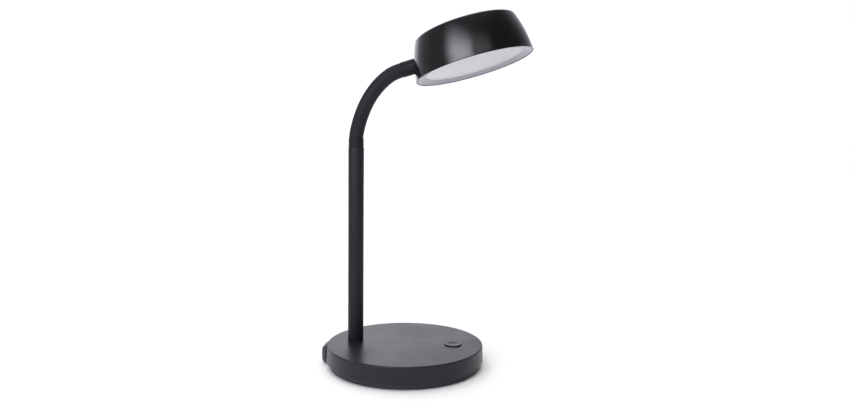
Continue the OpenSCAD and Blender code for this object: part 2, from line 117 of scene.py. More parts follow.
class LampNeckSizes(bpy.types.PropertyGroup):
    pole_radius: a_length(
        "Pole radius", "Outer radius of the steel pole", (pole_high.x - pole_low.x) / 2, 0.003)
    pole_wall: a_length("Pole wall", "Wall thickness of the pole", 1 * mm, 0.0003)
    sleeve_radius: a_length(
        "Sleeve radius", "Outer radius of the rubber sleeve", 7.3 * mm, 0.003)
    sleeve_wall: a_length(
        "Sleeve wall", "Wall thickness of the rubber sleeve", 1.35 * mm, 0.0003)
    hose_radius: a_length(
        "Hose radius", "Outer radius of the wound steel hose", 5.8 * mm, 0.002)
    hose_ridge: a_length("Ridge height", "Height of the hose's ridges", 0.7 * mm, 0.0)
    hose_strip: a_length(
        "Strip thickness", "Thickness of the strip that the hose is wound from",
        0.5 * mm, 0.0002)
    hose_pitch: a_length("Hose pitch", "Length of one turn of the hose", 2.2 * mm, 0.001)
    ferrule_radius: a_length(
        "Ferrule radius", "Outer radius of the ferrule on the pole", 7.7 * mm, 0.003)
    ferrule_length: a_length(
        "Ferrule length", "Length of the ferrule above the pole", 9.2 * mm, 0.002)
    tail: a_length(
        "Neck tail", "Distance from the last bending point to the upper collar", 9 * mm, 0.002)
    collar_radius: a_length(
        "Collar radius", "Outer radius of the upper collar", 7.7 * mm, 0.003)
    collar_length: a_length("Collar length", "Length of the upper collar", 13.6 * mm, 0.005)


class LampHeadSizes(bpy.types.PropertyGroup):
    radius: a_length("Head radius", "Outer radius of the head at its rim", 60.25 * mm, 0.02)
    height: a_length("Head height", "Height of the head above its rim", 39.7 * mm, 0.01)
    shoulder: a_length("Shoulder radius", "Radius of the head's top edge", 3.2 * mm, 0.001)
    wall: a_length("Head wall", "Wall thickness of the head's shell", 2.2 * mm, 0.001)
    tilt: an_angle("Head tilt", "Tilt of the head's axis from upright", 15.9)
    arm_height: a_length(
        "Arm height", "Height of the arm's axis above the rim", 18.4 * mm, 0.005)
    diffuser_radius: a_length(
        "Diffuser radius", "Radius of the diffuser that shows", 49.05 * mm, 0.01)
    diffuser_depth: a_length(
        "Diffuser depth", "Depth of the diffuser inside the rim", 2.8 * mm, 0.001)


class LampFinishes(bpy.types.PropertyGroup):
    cover: a_colour("Cover", "Colour of the base cover", (0.0082, 0.0075, 0.0092))
    pole: a_colour("Pole", "Colour of the painted pole", (0.0075, 0.0072, 0.008))
    sleeve: a_colour("Sleeve", "Colour of the rubber sleeve", (0.011, 0.0106, 0.0116))
    gland: a_colour("Gland", "Colour of the cord gland", (0.046, 0.043, 0.048))
    button: a_colour("Button", "Colour of the button", (0.004, 0.0038, 0.0044))
    head: a_colour("Head", "Colour of the glossy head", (0.004, 0.004, 0.0042))
    ring: a_colour("Ring", "Colour of the sloped ring round the diffuser", (0.35, 0.347, 0.4))
    diffuser: a_colour("Diffuser", "Colour of the opal diffuser", (0.585, 0.575, 0.62))


# ------------------------------------------------------------------ finishes


def feed(tree, socket, value):
    """Links a socket to another one, or gives it a value."""
    if isinstance(value, bpy.types.NodeSocket):
        tree.links.new(value, socket)
    else:
        socket.default_value = value


def add_node(tree, kind, inputs=None, **settings):
    """Adds a node with its settings, and links its inputs or sets them."""
    made = tree.nodes.new(kind)
    for key, value in settings.items():
        setattr(made, key, value)
    for key, value in (inputs or {}).items():
        feed(tree, made.inputs[key], value)
    return made


def add_math(tree, operation, *values):
    made = add_node(tree, "ShaderNodeMath", dict(enumerate(values)), operation=operation)
    return made.outputs[0]


def add_rise(tree, value, start, end):
    """0 up to start and 1 from end on, smooth between them."""
    made = add_node(tree, "ShaderNodeMapRange", {
        "Value": value, "From Min": start, "From Max": end}, interpolation_type="SMOOTHSTEP")
    return made.outputs["Result"]


class Finish:
    """A node material with one Principled shader, and short ways to add nodes to it."""

    def __init__(self, name, colour, roughness, metallic=0.0, gloss=0.5, sheen=(1, 1, 1)):
        self.material = bpy.data.materials.new(name)
        self.material.use_nodes = True
        self.material.diffuse_color = (*colour, 1)
        self.tree = self.material.node_tree
        self.shader = self.tree.nodes["Principled BSDF"].inputs
        self.shader["Base Color"].default_value = (*colour, 1)
        self.shader["Roughness"].default_value = roughness
        self.shader["Metallic"].default_value = metallic
        self.shader["Specular IOR Level"].default_value = gloss
        self.shader["Specular Tint"].default_value = (*sheen, 1)
        self.colour = colour
        self.roughness = roughness
        self.place = self.add("ShaderNodeTexCoord").outputs["Object"]

    def add(self, kind, inputs=None, **settings):
        return add_node(self.tree, kind, inputs, **settings)

    def drive(self, label, value):
        self.tree.links.new(value, self.shader[label])

    def noise(self, scale, detail=3.0, stretch=None):
        start = self.place
        if stretch:
            mapping = self.add("ShaderNodeMapping", {"Vector": start, "Scale": stretch})
            start = mapping.outputs["Vector"]
        made = self.add("ShaderNodeTexNoise", {"Vector": start, "Scale": scale, "Detail": detail})
        return made.outputs["Fac"]

    def spread(self, value, low, high):
        """Value's middle range mapped to low and high."""
        made = self.add("ShaderNodeMapRange", {
            "Value": value, "From Min": 0.3, "From Max": 0.7, "To Min": low, "To Max": high})
        return made.outputs["Result"]

    def vary_roughness(self, value, by):
        self.drive("Roughness", self.spread(value, self.roughness - by, self.roughness + by))

    def vary_colour(self, value, other):
        self.mix_colour(self.spread(value, 0, 1), other)

    def mix_colour(self, share, other):
        mix = self.add("ShaderNodeMix", {
            0: share, 6: (*self.colour, 1), 7: (*other, 1)}, data_type="RGBA")
        self.drive("Base Color", mix.outputs[2])

    def rise_along(self, axis, start, end):
        parts = self.add("ShaderNodeSeparateXYZ", {0: self.place})
        return add_rise(self.tree, parts.outputs[axis], start, end)

    def bump(self, value, strength, depth):
        made = self.add("ShaderNodeBump", {
            "Strength": strength, "Distance": depth, "Height": value})
        self.drive("Normal", made.outputs["Normal"])


BLACK_SHEEN = (1.0, 0.93, 1.06)


def shade(colour, factor):
    return tuple(min(1.0, part * factor) for part in colour)


def spark_grain(name, colour, roughness, grain=2400.0, strength=0.25, wear=0.04, gloss=0.35):
    """Moulded or powder-coated finish: a fine grain, and a faint large unevenness of its gloss."""
    finish = Finish(name, colour, roughness, gloss=gloss, sheen=BLACK_SHEEN)
    finish.bump(finish.noise(grain, 2.0), strength, 0.02 * mm)
    finish.vary_roughness(finish.noise(26.0, 4.0), wear)
    finish.vary_colour(finish.noise(9.0, 5.0), shade(colour, 1.12))
    return finish.material


def gloss_lacquer(name, colour, roughness):
    """Gloss paint: a faint orange peel, and a slight haze that varies over the piece."""
    finish = Finish(name, colour, roughness)
    finish.bump(finish.noise(320.0, 1.0), 0.06, 0.03 * mm)
    finish.vary_roughness(finish.noise(30.0, 4.0), 0.015)
    return finish.material


def soft_rubber(name, colour, roughness, gloss=0.3):
    """Rubber: dull, with a fine skin and slightly dusty patches."""
    finish = Finish(name, colour, roughness, gloss=gloss, sheen=BLACK_SHEEN)
    finish.bump(finish.noise(1500.0, 3.0), 0.3, 0.03 * mm)
    finish.vary_roughness(finish.noise(60.0, 4.0), 0.05)
    finish.vary_colour(finish.noise(35.0, 5.0), shade(colour, 1.18))
    return finish.material


def turned_metal(name, colour, roughness, stretch=(1, 1, 12)):
    """Bare metal with fine marks across one axis from its turning or rolling."""
    finish = Finish(name, colour, roughness, metallic=1.0)
    marks = finish.noise(420.0, 3.0, stretch)
    finish.bump(marks, 0.15, 0.01 * mm)
    finish.vary_roughness(marks, 0.06)
    finish.vary_colour(finish.noise(45.0, 4.0), shade(colour, 0.86))
    return finish.material


def opal_plastic(name, colour):
    """Opal diffuser sheet: satin, a little light inside it, a very fine prism grain, and painted
    shade that darkens it towards +X.
    """
    finish = Finish(name, colour, 0.42)
    finish.shader["Subsurface Weight"].default_value = 0.15
    finish.shader["Subsurface Radius"].default_value = (0.004, 0.004, 0.004)
    finish.bump(finish.noise(1800.0, 2.0), 0.12, 0.02 * mm)
    # painted shade: the colour darkens to 0.78 of itself from X 0 to 0.13 m, standing in for the
    # fall of the light across the disc
    finish.mix_colour(finish.rise_along("X", 0.0, 0.13), shade(colour, 0.78))
    return finish.material


def printed_board(name, colour):
    """Circuit board: solder mask with faint tracks under it."""
    finish = Finish(name, colour, 0.35)
    tracks = finish.add("ShaderNodeTexBrick", {
        "Vector": finish.place, "Scale": 120.0, "Mortar Size": 0.03, "Color1": (*colour, 1),
        "Color2": (*shade(colour, 0.85), 1), "Mortar": (*shade(colour, 1.35), 1)})
    finish.drive("Base Color", tracks.outputs["Color"])
    finish.vary_roughness(finish.noise(200.0), 0.05)
    return finish.material


# ------------------------------------------------------------------ shapes


def place(piece, matrix):
    """Puts a finished mesh in place, with its object left at the origin."""
    piece.data.transform(matrix)
    piece.matrix_world = Matrix.Identity(4)
    piece.data.update()
    return piece


def to_object(bm, name, material, sharp=30):
    """Object from a bmesh, with outward faces, smooth shading and sharp edges kept."""
    bmesh.ops.remove_doubles(bm, verts=bm.verts, dist=0.002 * mm)
    bmesh.ops.recalc_face_normals(bm, faces=bm.faces)
    mesh = bpy.data.meshes.new(name)
    bm.to_mesh(mesh)
    bm.free()
    mesh.materials.append(material)
    piece = bpy.data.objects.new(name, mesh)
    bpy.context.scene.collection.objects.link(piece)
    smooth(piece, sharp)
    return piece


def smooth(piece, sharp=30):
    mesh = piece.data
    mesh.polygons.foreach_set("use_smooth", [True] * len(mesh.polygons))
    mesh.set_sharp_from_angle(angle=math.radians(sharp))
    mesh.update()


def lathe(name, outline, steps, material, sharp=30):
    """Turns a closed outline of (radius, height) round the vertical axis."""
    bm = bmesh.new()
    rings = []
    for r, z in outline:
        if r < 1e-7:
            rings.append([bm.verts.new((0, 0, z))])
        else:
            rings.append([
                bm.verts.new((r * math.cos(a), r * math.sin(a), z))
                for a in (2 * math.pi * i / steps for i in range(steps))])
    for ring, following in zip(rings, rings[1:] + rings[:1]):
        if len(ring) == 1 and len(following) == 1:
            continue
        for i in range(steps):
            corners = [ring[i % len(ring)], ring[(i + 1) % len(ring)],
                       following[(i + 1) % len(following)], following[i % len(following)]]
            kept = list(dict.fromkeys(corners))
            if len(kept) > 2:
                bm.faces.new(kept)
    return to_object(bm, name, material, sharp)


def rod(name, radius, low, high, at, steps=48):
    """Plain rod used as a cutter or a post."""
    piece = lathe(name, [(0, low), (radius, low), (radius, high), (0, high)], steps, None)
    return place(piece, Matrix.Translation(at))


def block(name, low, high, matrix):
    """Plain block used as a cutter."""
    bm = bmesh.new()
    bmesh.ops.create_cube(bm, size=1)
    low, high = Vector(low), Vector(high)
    for v in bm.verts:
        v.co = Vector((low[i] + (v.co[i] + 0.5) * (high[i] - low[i]) for i in range(3)))
    return place(to_object(bm, name, None), matrix)


def four_posts(name, radius, low, high, away):
    """Posts on the four diagonals, at a distance in millimetres from the axis."""
    posts = []
    for k, turn in enumerate((45, 135, 225, 315)):
        way = Vector((math.cos(math.radians(turn)), math.sin(math.radians(turn)), 0))
        posts.append(rod(f"{name}_{k}", radius, low, high, way * away * mm))
    return posts


def bridge(bm, sections):
    """Sides from each loop of points to the next."""
    for one, two in zip(sections, sections[1:]):
        for i in range(len(one)):
            j = (i + 1) % len(one)
            bm.faces.new((one[i], one[j], two[j], two[i]))


def drop(*pieces):
    for piece in pieces:
        used = piece.data
        bpy.data.objects.remove(piece)
        bpy.data.meshes.remove(used)


def apply_modifiers(piece):
    """Keeps what the modifiers make as a plain mesh, and removes them."""
    evaluated = piece.evaluated_get(bpy.context.evaluated_depsgraph_get())
    mesh = bpy.data.meshes.new_from_object(evaluated)
    piece.modifiers.clear()
    used = piece.data
    piece.data = mesh
    bpy.data.meshes.remove(used)
    mesh.name = piece.name
    return mesh


def combine(piece, others, operation, sharp=30):
    """Adds or cuts other shapes and keeps the result as a plain mesh."""
    for other in others:
        modifier = piece.modifiers.new(operation, "BOOLEAN")
        modifier.operation = operation
        modifier.solver = "EXACT"
        modifier.object = other
    apply_modifiers(piece)
    drop(*others)
    smooth(piece, sharp)
    return piece


def arc(centre, radius, start, stop, steps):
    """Points of an arc in an outline, with its angles in degrees from the outward direction."""
    angles = [math.radians(start + (stop - start) * i / steps) for i in range(steps + 1)]
    return [(centre[0] + radius * math.cos(a), centre[1] + radius * math.sin(a)) for a in angles]


def softened(outline, radius, steps=3):
    """Outline with each convex or hollow corner cut round, where its sides are long enough."""
    result = []
    count = len(outline)
    for i, point in enumerate(outline):
        here = Vector(point)
        before, after = Vector(outline[i - 1]) - here, Vector(outline[(i + 1) % count]) - here
        short = min(before.length, after.length)
        on_axis = here.x < 1e-7
        if on_axis or short < 1e-7 or before.angle(after) > math.radians(155):
            result.append(point)
            continue
        cut = min(radius, short * 0.45)
        start, end = here + before.normalized() * cut, here + after.normalized() * cut
        for step in range(steps + 1):
            t = step / steps
            result.append(tuple(start * (1 - t) ** 2 + here * (2 * t * (1 - t)) + end * t * t))
    return result


def finished(piece, body, slot, *nodes):
    """Says what a piece rides on and which CAD nodes it stands for. The slot argument, which names
    the finish it takes, is not used.
    """
    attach(piece, body)
    if nodes:
        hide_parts(*nodes)
    return piece


# ------------------------------------------------------------------ geometry node trees


class Tree:
    """A geometry node tree with named inputs, and short ways to add nodes to it."""

    def __init__(self, name, inputs):
        self.group = bpy.data.node_groups.new(name, "GeometryNodeTree")
        self.group.interface.new_socket(
            "Geometry", in_out="OUTPUT", socket_type="NodeSocketGeometry")
        self.keys = {}
        for label, kind, default in inputs:
            socket = self.group.interface.new_socket(
                label, in_out="INPUT", socket_type="NodeSocket" + kind)
            if default is not None:
                socket.default_value = default
            self.keys[label] = socket.identifier
        self.inputs = self.group.nodes.new("NodeGroupInput").outputs
        self.output = self.group.nodes.new("NodeGroupOutput").inputs[0]

    def add(self, kind, inputs=None, **settings):
        return add_node(self.group, kind, inputs, **settings)

    def math(self, operation, *values):
        return add_math(self.group, operation, *values)

    def vector(self, operation, first, second=None, scale=None):
        given = {0: first, 1: second, "Scale": scale}
        made = self.add(
            "ShaderNodeVectorMath", {k: v for k, v in given.items() if v is not None},
            operation=operation)
        return made.outputs["Value" if operation in ("LENGTH", "DISTANCE") else 0]

    def between(self, first, second, factor):
        step = self.vector("SCALE", self.vector("SUBTRACT", second, first), scale=factor)
        return self.vector("ADD", first, step)

    def close(self, geometry, material):
        real = self.add("GeometryNodeRealizeInstances", {"Geometry": geometry})
        done = self.add(
            "GeometryNodeSetMaterial", {"Geometry": real.outputs[0], "Material": material})
        self.group.links.new(done.outputs[0], self.output)

    def grow(self, name, values):
        """Plain mesh object that the tree makes with these input values."""
        piece = bpy.data.objects.new(name, bpy.data.meshes.new(name))
        bpy.context.scene.collection.objects.link(piece)
        modifier = piece.modifiers.new(self.group.name, "NODES")
        modifier.node_group = self.group
        for label, value in values.items():
            modifier[self.keys[label]] = value
        mesh = apply_modifiers(piece)
        bm = bmesh.new()
        bm.from_mesh(mesh)
        bmesh.ops.recalc_face_normals(bm, faces=bm.faces)
        bm.to_mesh(mesh)
        bm.free()
        return piece


def hose_tree():
    """A tube with a wall that follows a bend from start over corner to end, smooth or ridged."""
    tree = Tree("Bent hose", [
        ("Start", "Vector", None), ("Corner", "Vector", None), ("End", "Vector", None),
        ("Run in", "Float", 0.0), ("Run out", "Float", 0.0),
        ("Radius", "Float", 0.007), ("Wall", "Float", 0.001),
        ("Ridge", "Float", 0.0), ("Pitch", "Float", 0.0022),
        ("Ball end", "Float", 0.0), ("Hollow end", "Float", 0.0),
        ("Rings", "Int", 24), ("Sides", "Int", 64), ("Finish", "Material", None)])
    start, corner, end = (tree.inputs[key] for key in ("Start", "Corner", "End"))
    rings, sides = tree.inputs["Rings"], tree.inputs["Sides"]
    loop = tree.math("MULTIPLY_ADD", rings, 2, 2)
    grid = tree.add("GeometryNodeMeshGrid", {
        "Size X": 1.0, "Size Y": 1.0,
        "Vertices X": tree.math("ADD", loop, 1), "Vertices Y": tree.math("ADD", sides, 1)})
    spot = tree.add("ShaderNodeSeparateXYZ", {0: tree.add("GeometryNodeInputPosition").outputs[0]})
    row = tree.math("ROUND", tree.math("MULTIPLY", tree.math("ADD", spot.outputs["X"], 0.5), loop))
    row = tree.math("MODULO", row, loop)
    outside = tree.math("LESS_THAN", row, tree.math("ADD", rings, 0.5))
    back = tree.math("SUBTRACT", tree.math("MULTIPLY_ADD", rings, 2, 1), row)
    kept = tree.math("ADD", tree.math("MULTIPLY", row, outside),
                     tree.math("MULTIPLY", back, tree.math("SUBTRACT", 1, outside)))
    share = tree.math("DIVIDE", kept, rings)
    bend = tree.math(
        "ADD", tree.vector("DISTANCE", start, corner), tree.vector("DISTANCE", corner, end))
    whole = tree.math("ADD", tree.math("ADD", bend, tree.inputs["Run in"]), tree.inputs["Run out"])
    gone = tree.math("MULTIPLY", share, whole)
    along = tree.math("SUBTRACT", gone, tree.inputs["Run in"])
    inside = tree.math("MAXIMUM", tree.math("MINIMUM", along, bend), 0)
    past = tree.math("SUBTRACT", along, inside)
    t = tree.math("DIVIDE", inside, bend)
    first, second = tree.between(start, corner, t), tree.between(corner, end, t)
    tangent = tree.vector("NORMALIZE", tree.vector("SUBTRACT", second, first))
    centre = tree.vector(
        "ADD", tree.between(first, second, t), tree.vector("SCALE", tangent, scale=past))
    turn = tree.math("MULTIPLY", tree.math("ADD", spot.outputs["Y"], 0.5), 2 * math.pi)
    wave = tree.math("SINE", tree.math(
        "MULTIPLY", tree.math("DIVIDE", gone, tree.inputs["Pitch"]), 2 * math.pi))
    valley = tree.math("MAXIMUM", tree.math("MULTIPLY_ADD", wave, -1.6, 0.5), 0)
    valley = tree.math("MINIMUM", valley, 1)

    def ball(depth):
        """Radius of a ball as wide as the tube, at a depth from its middle."""
        squares = tree.math("SUBTRACT", tree.math("POWER", tree.inputs["Radius"], 2),
                            tree.math("POWER", depth, 2))
        return tree.math("SQRT", tree.math("MAXIMUM", squares, 0))

    beyond = tree.math("MULTIPLY", tree.math("MAXIMUM", past, 0), tree.inputs["Ball end"])
    no_hollow = tree.math("SUBTRACT", 1, tree.inputs["Hollow end"])
    hollow = tree.math("ADD", ball(tree.math("ADD", along, no_hollow)), 0.05 * mm)
    hollow = tree.math("MINIMUM", hollow, tree.math("SUBTRACT", tree.inputs["Radius"], 0.03 * mm))
    groove = tree.math("MULTIPLY", valley, tree.inputs["Ridge"])
    bore = tree.math("SUBTRACT", tree.inputs["Radius"], tree.inputs["Wall"])
    bore = tree.math("MAXIMUM", tree.math("SUBTRACT", bore, groove), hollow)
    skin = tree.math("SUBTRACT", ball(beyond), groove)
    wall = tree.math("MULTIPLY", outside, tree.math("SUBTRACT", skin, bore))
    radius = tree.math("ADD", bore, wall)
    sideways = tree.vector("CROSS_PRODUCT", tangent, (0, 1, 0))
    far_out = tree.math("MULTIPLY", radius, tree.math("COSINE", turn))
    far_over = tree.math("MULTIPLY", radius, tree.math("SINE", turn))
    out = tree.vector("SCALE", sideways, scale=far_out)
    over = tree.vector("SCALE", (0, 1, 0), scale=far_over)
    bent = tree.add("GeometryNodeSetPosition", {
        "Geometry": grid.outputs["Mesh"],
        "Position": tree.vector("ADD", centre, tree.vector("ADD", out, over))})
    joined = tree.add("GeometryNodeMergeByDistance", {
        "Geometry": bent.outputs[0], "Distance": 0.003 * mm})
    tree.close(joined.outputs[0], tree.inputs["Finish"])
    return tree


def ring_tree():
    """Copies of one piece on a circle, each turned to face outwards."""
    tree = Tree("Ring of copies", [
        ("Copy", "Object", None), ("Count", "Int", 4), ("Ring radius", "Float", 0.04),
        ("First angle", "Float", 0.0), ("Height", "Float", 0.0), ("Finish", "Material", None)])
    points = tree.add("GeometryNodePoints", {"Count": tree.inputs["Count"]})
    index = tree.add("GeometryNodeInputIndex").outputs[0]
    step = tree.math("DIVIDE", 2 * math.pi, tree.inputs["Count"])
    turn = tree.math("MULTIPLY_ADD", index, step, tree.inputs["First angle"])
    spot = tree.add("ShaderNodeCombineXYZ", {
        "X": tree.math("MULTIPLY", tree.math("COSINE", turn), tree.inputs["Ring radius"]),
        "Y": tree.math("MULTIPLY", tree.math("SINE", turn), tree.inputs["Ring radius"]),
        "Z": tree.inputs["Height"]})
    moved = tree.add("GeometryNodeSetPosition", {
        "Geometry": points.outputs[0], "Position": spot.outputs[0]})
    facing = tree.add("ShaderNodeCombineXYZ", {"Z": turn})
    copy = tree.add("GeometryNodeObjectInfo", {"Object": tree.inputs["Copy"]})
    laid = tree.add("GeometryNodeInstanceOnPoints", {
        "Points": moved.outputs[0], "Instance": copy.outputs["Geometry"],
        "Rotation": facing.outputs[0]})
    tree.close(laid.outputs[0], tree.inputs["Finish"])
    return tree


def grow_ring(tree, name, copy, finish, count, radius, first=0.0, height=0.0):
    piece = tree.grow(name, {
        "Copy": copy, "Count": count, "Ring radius": radius,
        "First angle": first, "Height": height, "Finish": finish})
    smooth(piece)
    return piece


# ------------------------------------------------------------------ head and neck places


def link_place(k):
    """Frame of neck link k: its bending point, with +Z along the link."""
    here = bend_points[k - 1]
    if k < len(bend_points):
        way = (bend_points[k] - here).normalized()
    else:
        tilt = bpy.context.scene.lamp_head.tilt
        way = Vector((math.cos(tilt), 0, math.sin(tilt)))
    across = Vector((0, 1, 0))
    matrix = Matrix((across.cross(way), across, way)).transposed().to_4x4()
    return Matrix.Translation(here) @ matrix


def head_wall(height):
    """Outer radius of the head's wall at a height above its rim."""
    head = bpy.context.scene.lamp_head
    flare = 0.3 * mm
    lip = 5 * mm
    share = height / (head.height - head.shoulder)
    radius = head.radius - flare - (2 * share + 5.9 * share ** 2) * mm
    return radius + (flare * (1 - height / lip) ** 2 if height < lip else 0)


def head_place():
    """Frame of the head: the centre of its rim, with +Z along its axis."""
    head, neck = bpy.context.scene.lamp_head, bpy.context.scene.lamp_neck
    along = Vector((math.cos(head.tilt), 0, math.sin(head.tilt)))
    up = Vector((-math.sin(head.tilt), 0, math.cos(head.tilt)))
    reach = neck.tail + neck.collar_length + head_wall(head.arm_height)
    centre = bend_points[-1] + along * reach - up * head.arm_height
    return Matrix.Translation(centre) @ Matrix.Rotation(-head.tilt, 4, "Y")


BUTTON_RADIUS = 8.75 * mm
BASE_POSTS_MM, HEAD_POSTS_MM = 66.5, 44.45

# Brightness of the studio's walls, by the degrees to the right from straight behind the lamp
AROUND = (
    (-180, 0.25), (-125, 0.28), (-100, 0.3), (-80, 0.38), (-62, 0.56), (-40, 1.4), (-14, 1.5),
    (4, 1.0), (20, 0.62), (33, 0.46), (52, 0.24), (72, 0.1), (110, 0.07), (150, 0.12), (180, 0.25))
OVERHEAD, OVERHEAD_FROM, OVERHEAD_FULL = 0.35, 0.8, 0.95
STUDIO_TINT = (1.0, 0.955, 1.05)
SEEN_WHITE = 1.05
PAPER_NEAR, PAPER_FAR = (0.66, 0.671, 0.655), (0.82, 0.84, 0.81)
CEILING_LIGHT, CEILING_SPREAD = 2.7, 70
# Softboxes: degrees to the right, degrees up, distance, width, height, brightness, and the shares
# of the box over which it fades at its left, right, bottom and top
LIT_POINT = (0.068, 0, 0.305)
SOFTBOXES = (
    ("left_softbox", -26.3, 22, 1.2, 1.28, 1.15, 7.5, (0.46, 0.2, 0.4, 0.64)),
    ("right_softbox", 22, 24, 1.2, 0.76, 1.1, 1.15, (0.1, 0.35, 0.2, 0.5)))
CAMERA_AT = (0.11557, -0.62623, 0.20794)
CAMERA_WAY = (-0.1479, 0.9869, -0.0651)
CAMERA_ROLL, CAMERA_LENS = 0.0101, 26.136


# ------------------------------------------------------------------ operators


class LAMP_OT_base(bpy.types.Operator):
    """Base cover, anti-slip pad and cord gland"""

    bl_idname = "lamp.base"
    bl_label = "Base"

    def execute(self, context):
        sizes, neck = context.scene.lamp_base, context.scene.lamp_neck
        colours = context.scene.lamp_finishes
        paint = spark_grain("cover_paint", colours.cover, 0.36, gloss=0.33)
        inner = sizes.radius - sizes.wall
        ceiling = sizes.top - sizes.wall
        top_radius = sizes.radius - sizes.draft
        outline = [(inner, sizes.lift + 0.4 * mm), (inner + 0.4 * mm, sizes.lift)]
        outline += arc((sizes.radius - 0.5 * mm, sizes.lift + 0.5 * mm), 0.5 * mm, -90, 0, 5)
        corner = (top_radius - sizes.edge, sizes.top - sizes.edge)
        outline += [(sizes.radius - 0.04 * mm, sizes.lift + 1.2 * mm)]
        outline += arc(corner, sizes.edge, 0, 90, 12)
        outline += [
            (corner[0] - 0.25 * mm, sizes.top), (corner[0] - 8 * mm, sizes.top), (0, sizes.top),
            (0, ceiling), (inner - 1 * mm, ceiling), (inner, ceiling - 1 * mm)]
        cover = lathe("cover", outline, 320, paint)
        pole = Vector((pole_x, 0, 0))
        button = Vector((button_x, 0, 0))
        posts = four_posts("post", 3.2 * mm, 3 * mm, ceiling + 0.5 * mm, BASE_POSTS_MM)
        posts.append(rod("guide", 12.25 * mm, ceiling - 3 * mm, ceiling + 0.5 * mm, button, 72))
        combine(cover, posts, "UNION")
        turn = Matrix.Rotation(sizes.gland_turn, 4, "Z")
        cuts = [
            rod("pole_hole", neck.pole_radius + 0.15 * mm, 0, 40 * mm, pole, 96),
            rod("button_hole", BUTTON_RADIUS + 0.5 * mm, 0, 40 * mm, button, 96),
            rod("button_guide", BUTTON_RADIUS + 2.1 * mm, 0, ceiling, button, 72),
            block("gland_window", (68 * mm, -8 * mm, 6 * mm), (88 * mm, 8 * mm, 15 * mm), turn)]
        combine(cover, cuts, "DIFFERENCE")
        finished(cover, "base", "cover_paint", "base_cover")

        pad_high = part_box("anti_slip_pad")[1]
        pad_r = pad_high.x
        pad_line = softened([(0, 0), (pad_r, 0), (pad_r, pad_high.z), (0, pad_high.z)], 0.3 * mm)
        pad = lathe("pad", pad_line, 192, soft_rubber("pad_rubber", (0.03, 0.03, 0.032), 0.7))
        finished(pad, "base", "pad_rubber", "anti_slip_pad")
        self.gland(sizes, colours, turn)
        return {"FINISHED"}

    def gland(self, sizes, colours, turn):
        """Block whose outline draws in along a quarter round, with a neck through the side."""
        low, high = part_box("cord_gland")
        middle = (low.z + high.z) / 2
        bm = bmesh.new()
        sections = []
        for angle in (-30, *range(0, 91, 9)):
            x = sizes.radius + sizes.gland_out * math.sin(math.radians(angle))
            draw_in = 4 * mm * (1 - math.cos(math.radians(max(angle, 0))))
            sections.append([
                bm.verts.new((x, y, middle + z))
                for y, z in rounded_corners(sizes.gland_width / 2 - draw_in,
                                            sizes.gland_height / 2 - draw_in, 3 * mm)])
        bridge(bm, sections)
        bm.faces.new(sections[0][::-1])
        bm.faces.new(sections[-1])
        plastic = spark_grain("gland_plastic", colours.gland, 0.42)
        gland = to_object(bm, "gland", plastic, 40)
        stand_off, still = 1 * mm, Matrix.Identity(4)
        combine(gland, [rod("wall_cut", sizes.radius + stand_off, 0, 40 * mm, Vector(), 320)],
                "DIFFERENCE", 40)
        combine(gland, [
            block("gland_neck", (74 * mm, -8 * mm, 6 * mm), (83 * mm, 8 * mm, 15 * mm), still),
            block("gland_flange", (73.2 * mm, -10 * mm, 5.4 * mm),
                  (74.6 * mm, 10 * mm, 16.2 * mm), still),
        ], "UNION", 40)
        bore = rod("bore", 2.6 * mm, 0, 40 * mm, Vector(), 48)
        place(bore, Matrix.Translation((60 * mm, 0, middle)) @ Matrix.Rotation(math.pi / 2, 4, "Y"))
        combine(gland, [bore], "DIFFERENCE", 40)
        place(gland, turn)
        finished(gland, "base", "gland_plastic", "cord_gland")


def rounded_corners(half_w, half_h, radius, steps=6):
    """Points of a rectangle with rounded corners."""
    points = []
    for quarter, (sy, sz) in enumerate(((1, 1), (-1, 1), (-1, -1), (1, -1))):
        for step in range(steps + 1):
            a = math.radians(90 * (quarter + step / steps))
            points.append((sy * (half_w - radius) + radius * math.cos(a),
                           sz * (half_h - radius) + radius * math.sin(a)))
    return points


class LAMP_OT_button(bpy.types.Operator):
    """Round dimmer button, slightly dished, with a bevelled edge"""

    bl_idname = "lamp.button"
    bl_label = "Button"

    def execute(self, context):
        r, dish = BUTTON_RADIUS, 0.9 * mm
        top, foot = cap_high.z, cap_low.z
        outline = [(x * r, top - dish * (1 - (x / 0.85) ** 2)) for x in (0, 0.2, 0.4, 0.6, 0.75)]
        outline += [(r - 1.3 * mm, top), (r - 1.0 * mm, top - 0.03 * mm)]
        outline += arc((r - 1.0 * mm, top - 1.0 * mm), 0.97 * mm, 80, 0, 8)
        shelf = foot + 1 * mm
        outline += [
            (r, shelf), (r + 1.6 * mm, shelf), (r + 1.6 * mm, foot), (r - 1.5 * mm, foot),
            (r - 1.5 * mm, 20.8 * mm), (3 * mm, 20.8 * mm), (3 * mm, foot), (1.75 * mm, foot),
            (1.75 * mm, 20.3 * mm), (0, 20.3 * mm)]
        satin = Finish("button_paint", context.scene.lamp_finishes.button, 0.3, gloss=0.28,
                       sheen=BLACK_SHEEN)
        satin.bump(satin.noise(1600.0, 2.0), 0.08, 0.02 * mm)
        satin.vary_roughness(satin.noise(120.0, 3.0), 0.03)
        cap = lathe("button", outline, 128, satin.material, 35)
        place(cap, Matrix.Translation((button_x, 0, 0)))
        finished(cap, "button", "button_paint", "button_cap")
        return {"FINISHED"}


